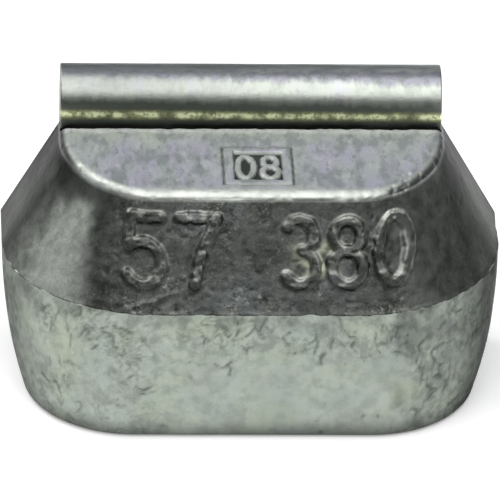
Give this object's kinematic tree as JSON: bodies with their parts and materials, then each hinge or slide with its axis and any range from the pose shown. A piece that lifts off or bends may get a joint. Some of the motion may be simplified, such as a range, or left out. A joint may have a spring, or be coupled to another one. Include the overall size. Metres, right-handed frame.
{
  "type": "wheel balance weight",
  "caption": "Clip-on wheel balance weight: a zinc casting with sloping walls, held on a rim flange by a spring steel hook along its top.",
  "frame": {"origin": "centre of the flat base", "axes": "+X along the rim, +Y towards the rim face, +Z from the base towards the hook"},
  "size_m": [0.0358, 0.0203, 0.0211],
  "materials": {
    "zinc_casting": "as cast, dull grey with a brighter shoulder",
    "plated_steel": "zinc plated, smooth"
  },
  "bodies": {
    "root": {"cast_body": "zinc_casting", "spring_clip": "plated_steel"}
  },
  "joints": []
}
